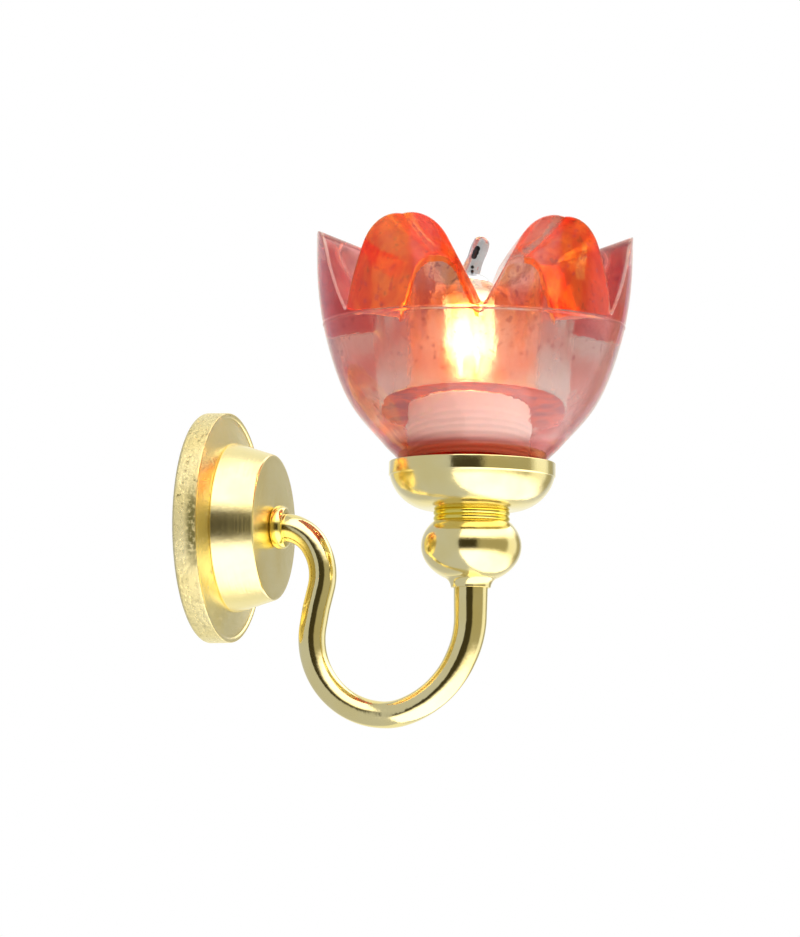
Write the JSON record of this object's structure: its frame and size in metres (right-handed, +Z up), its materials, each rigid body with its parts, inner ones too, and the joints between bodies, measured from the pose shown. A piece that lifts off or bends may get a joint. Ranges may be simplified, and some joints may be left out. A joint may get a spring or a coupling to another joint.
{
  "type": "miniature sanctuary lamp",
  "caption": "Miniature brass wall lamp: round wall plate with stepped canopy, swan-neck arm, ball and gallery cup, lift-off tulip shade with six petals, plug-in bulb with a drawn tip.",
  "frame": {"origin": "centre of the wall plate's back face, where the lamp meets the wall", "axes": "+X out of the wall, +Z up, along the lamp and shade axis, Y across"},
  "size_m": [0.0284, 0.0208, 0.0324],
  "materials": {
    "plate_brass": "turned and polished, lacquered, a few plating pits",
    "arm_brass": "drawn tube, bright polished",
    "lamp_brass": "turned and polished, lacquered",
    "nut_brass": "plain turned",
    "shade_acrylic": "clear moulded acrylic, tinted pink, orange lacquer on some petals",
    "sleeve_nylon": "white, moulded thread",
    "holder_nylon": "white, moulded",
    "contact_metal": "tinned",
    "bulb_glass": "clear blown glass, drawn tip",
    "cap_metal": "spun cap",
    "filament_wire": "coiled wire, glowing",
    "lead_insulation": "enamelled wire",
    "pad_foam": "self-adhesive foam"
  },
  "bodies": {
    "root": {"wall_plate": "plate_brass", "fixing_pad": "pad_foam", "lead_bush": "holder_nylon", "canopy": "plate_brass", "arm_root_bead": "arm_brass", "arm_lock_nut": "nut_brass", "arm_tube": "arm_brass", "arm_top_collar": "lamp_brass", "ball_knop": "lamp_brass", "neck_spacer": "lamp_brass", "gallery_cup": "lamp_brass", "centre_nipple": "nut_brass", "gallery_nut": "nut_brass", "lampholder": "holder_nylon", "socket_contact_near": "contact_metal", "socket_contact_far": "contact_metal", "lead_near": "lead_insulation", "lead_far": "lead_insulation"},
    "shade": {"shade": "shade_acrylic", "shade_sleeve": "sleeve_nylon"},
    "bulb": {"bulb_cap": "cap_metal", "bulb_glass": "bulb_glass", "bulb_stem": "bulb_glass", "filament_posts": "contact_metal", "filament": "filament_wire", "bulb_pins": "contact_metal"}
  },
  "joints": [
    {"name": "shade_lift", "type": "slide", "parent": "root", "child": "shade", "axis": [0, 0, 1], "range_m": [0, 0.02]},
    {"name": "bulb_pull", "type": "slide", "parent": "root", "child": "bulb", "axis": [0, 0, 1], "range_m": [0, 0.01]}
  ]
}
